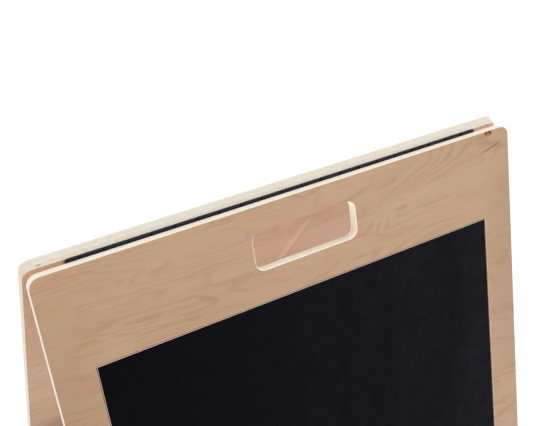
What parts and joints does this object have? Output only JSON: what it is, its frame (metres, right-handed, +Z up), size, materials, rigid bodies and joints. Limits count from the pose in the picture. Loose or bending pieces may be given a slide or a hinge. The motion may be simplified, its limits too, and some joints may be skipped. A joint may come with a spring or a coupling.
{
  "type": "kids easel",
  "caption": "Double-sided folding plywood easel for children, hinged along the top, with a hand hole, an inlaid drawing board and a pencil tray on each side.",
  "frame": {"origin": "centre of the easel's footprint, on the floor", "axes": "+Z up; X along the hinge; -Y is the side with the chalkboard, +Y the side with the whiteboard"},
  "size_m": [0.6, 0.7842, 0.9995],
  "materials": {
    "maple_plywood": "clear satin lacquer over maple veneer, pale layered edges",
    "chalkboard": "matt black chalkboard paint",
    "whiteboard": "gloss white dry-wipe laminate",
    "black_steel": "satin black",
    "pin_steel": "dark oiled steel",
    "zinc_steel": "bright zinc plate",
    "webbing": "woven nylon",
    "rubber": "matt"
  },
  "bodies": {
    "front": {"front_panel": "maple_plywood", "chalkboard": "chalkboard", "hinge_leaf_front": "black_steel", "front_tray_shelf": "maple_plywood", "front_tray_lip": "maple_plywood", "front_tray_end_left": "maple_plywood", "front_tray_end_right": "maple_plywood", "front_hinge_screw_1": "zinc_steel", "front_hinge_screw_2": "zinc_steel", "front_hinge_screw_3": "zinc_steel", "front_hinge_screw_4": "zinc_steel", "front_hinge_screw_5": "zinc_steel", "front_hinge_screw_6": "zinc_steel", "front_hinge_screw_7": "zinc_steel", "front_hinge_screw_8": "zinc_steel", "front_hinge_screw_9": "zinc_steel", "front_hinge_screw_10": "zinc_steel", "front_tray_screw_1": "zinc_steel", "front_tray_screw_2": "zinc_steel", "front_tray_screw_3": "zinc_steel", "front_strap_screw_1": "zinc_steel", "front_strap_screw_2": "zinc_steel", "front_strap_plate_1": "zinc_steel", "front_strap_plate_2": "zinc_steel", "front_foot_pad_1": "rubber", "front_foot_pad_2": "rubber", "hinge_pin": "pin_steel", "opening_strap_1": "webbing", "opening_strap_2": "webbing"},
    "rear": {"rear_panel": "maple_plywood", "whiteboard": "whiteboard", "hinge_leaf_rear": "black_steel", "rear_tray_shelf": "maple_plywood", "rear_tray_lip": "maple_plywood", "rear_tray_end_left": "maple_plywood", "rear_tray_end_right": "maple_plywood", "rear_hinge_screw_1": "zinc_steel", "rear_hinge_screw_2": "zinc_steel", "rear_hinge_screw_3": "zinc_steel", "rear_hinge_screw_4": "zinc_steel", "rear_hinge_screw_5": "zinc_steel", "rear_hinge_screw_6": "zinc_steel", "rear_hinge_screw_7": "zinc_steel", "rear_hinge_screw_8": "zinc_steel", "rear_hinge_screw_9": "zinc_steel", "rear_hinge_screw_10": "zinc_steel", "rear_tray_screw_1": "zinc_steel", "rear_tray_screw_2": "zinc_steel", "rear_tray_screw_3": "zinc_steel", "rear_strap_screw_1": "zinc_steel", "rear_strap_screw_2": "zinc_steel", "rear_strap_plate_1": "zinc_steel", "rear_strap_plate_2": "zinc_steel", "rear_foot_pad_1": "rubber", "rear_foot_pad_2": "rubber", "rear_bumper_1": "rubber", "rear_bumper_2": "rubber"}
  },
  "joints": [
    {"name": "fold", "type": "hinge", "parent": "front", "child": "rear", "pos_m": [0, 0, 0.99503], "axis": [-1, 0, 0], "range_deg": [0, 41.6], "deforming": ["opening_strap_1", "opening_strap_2"]}
  ]
}
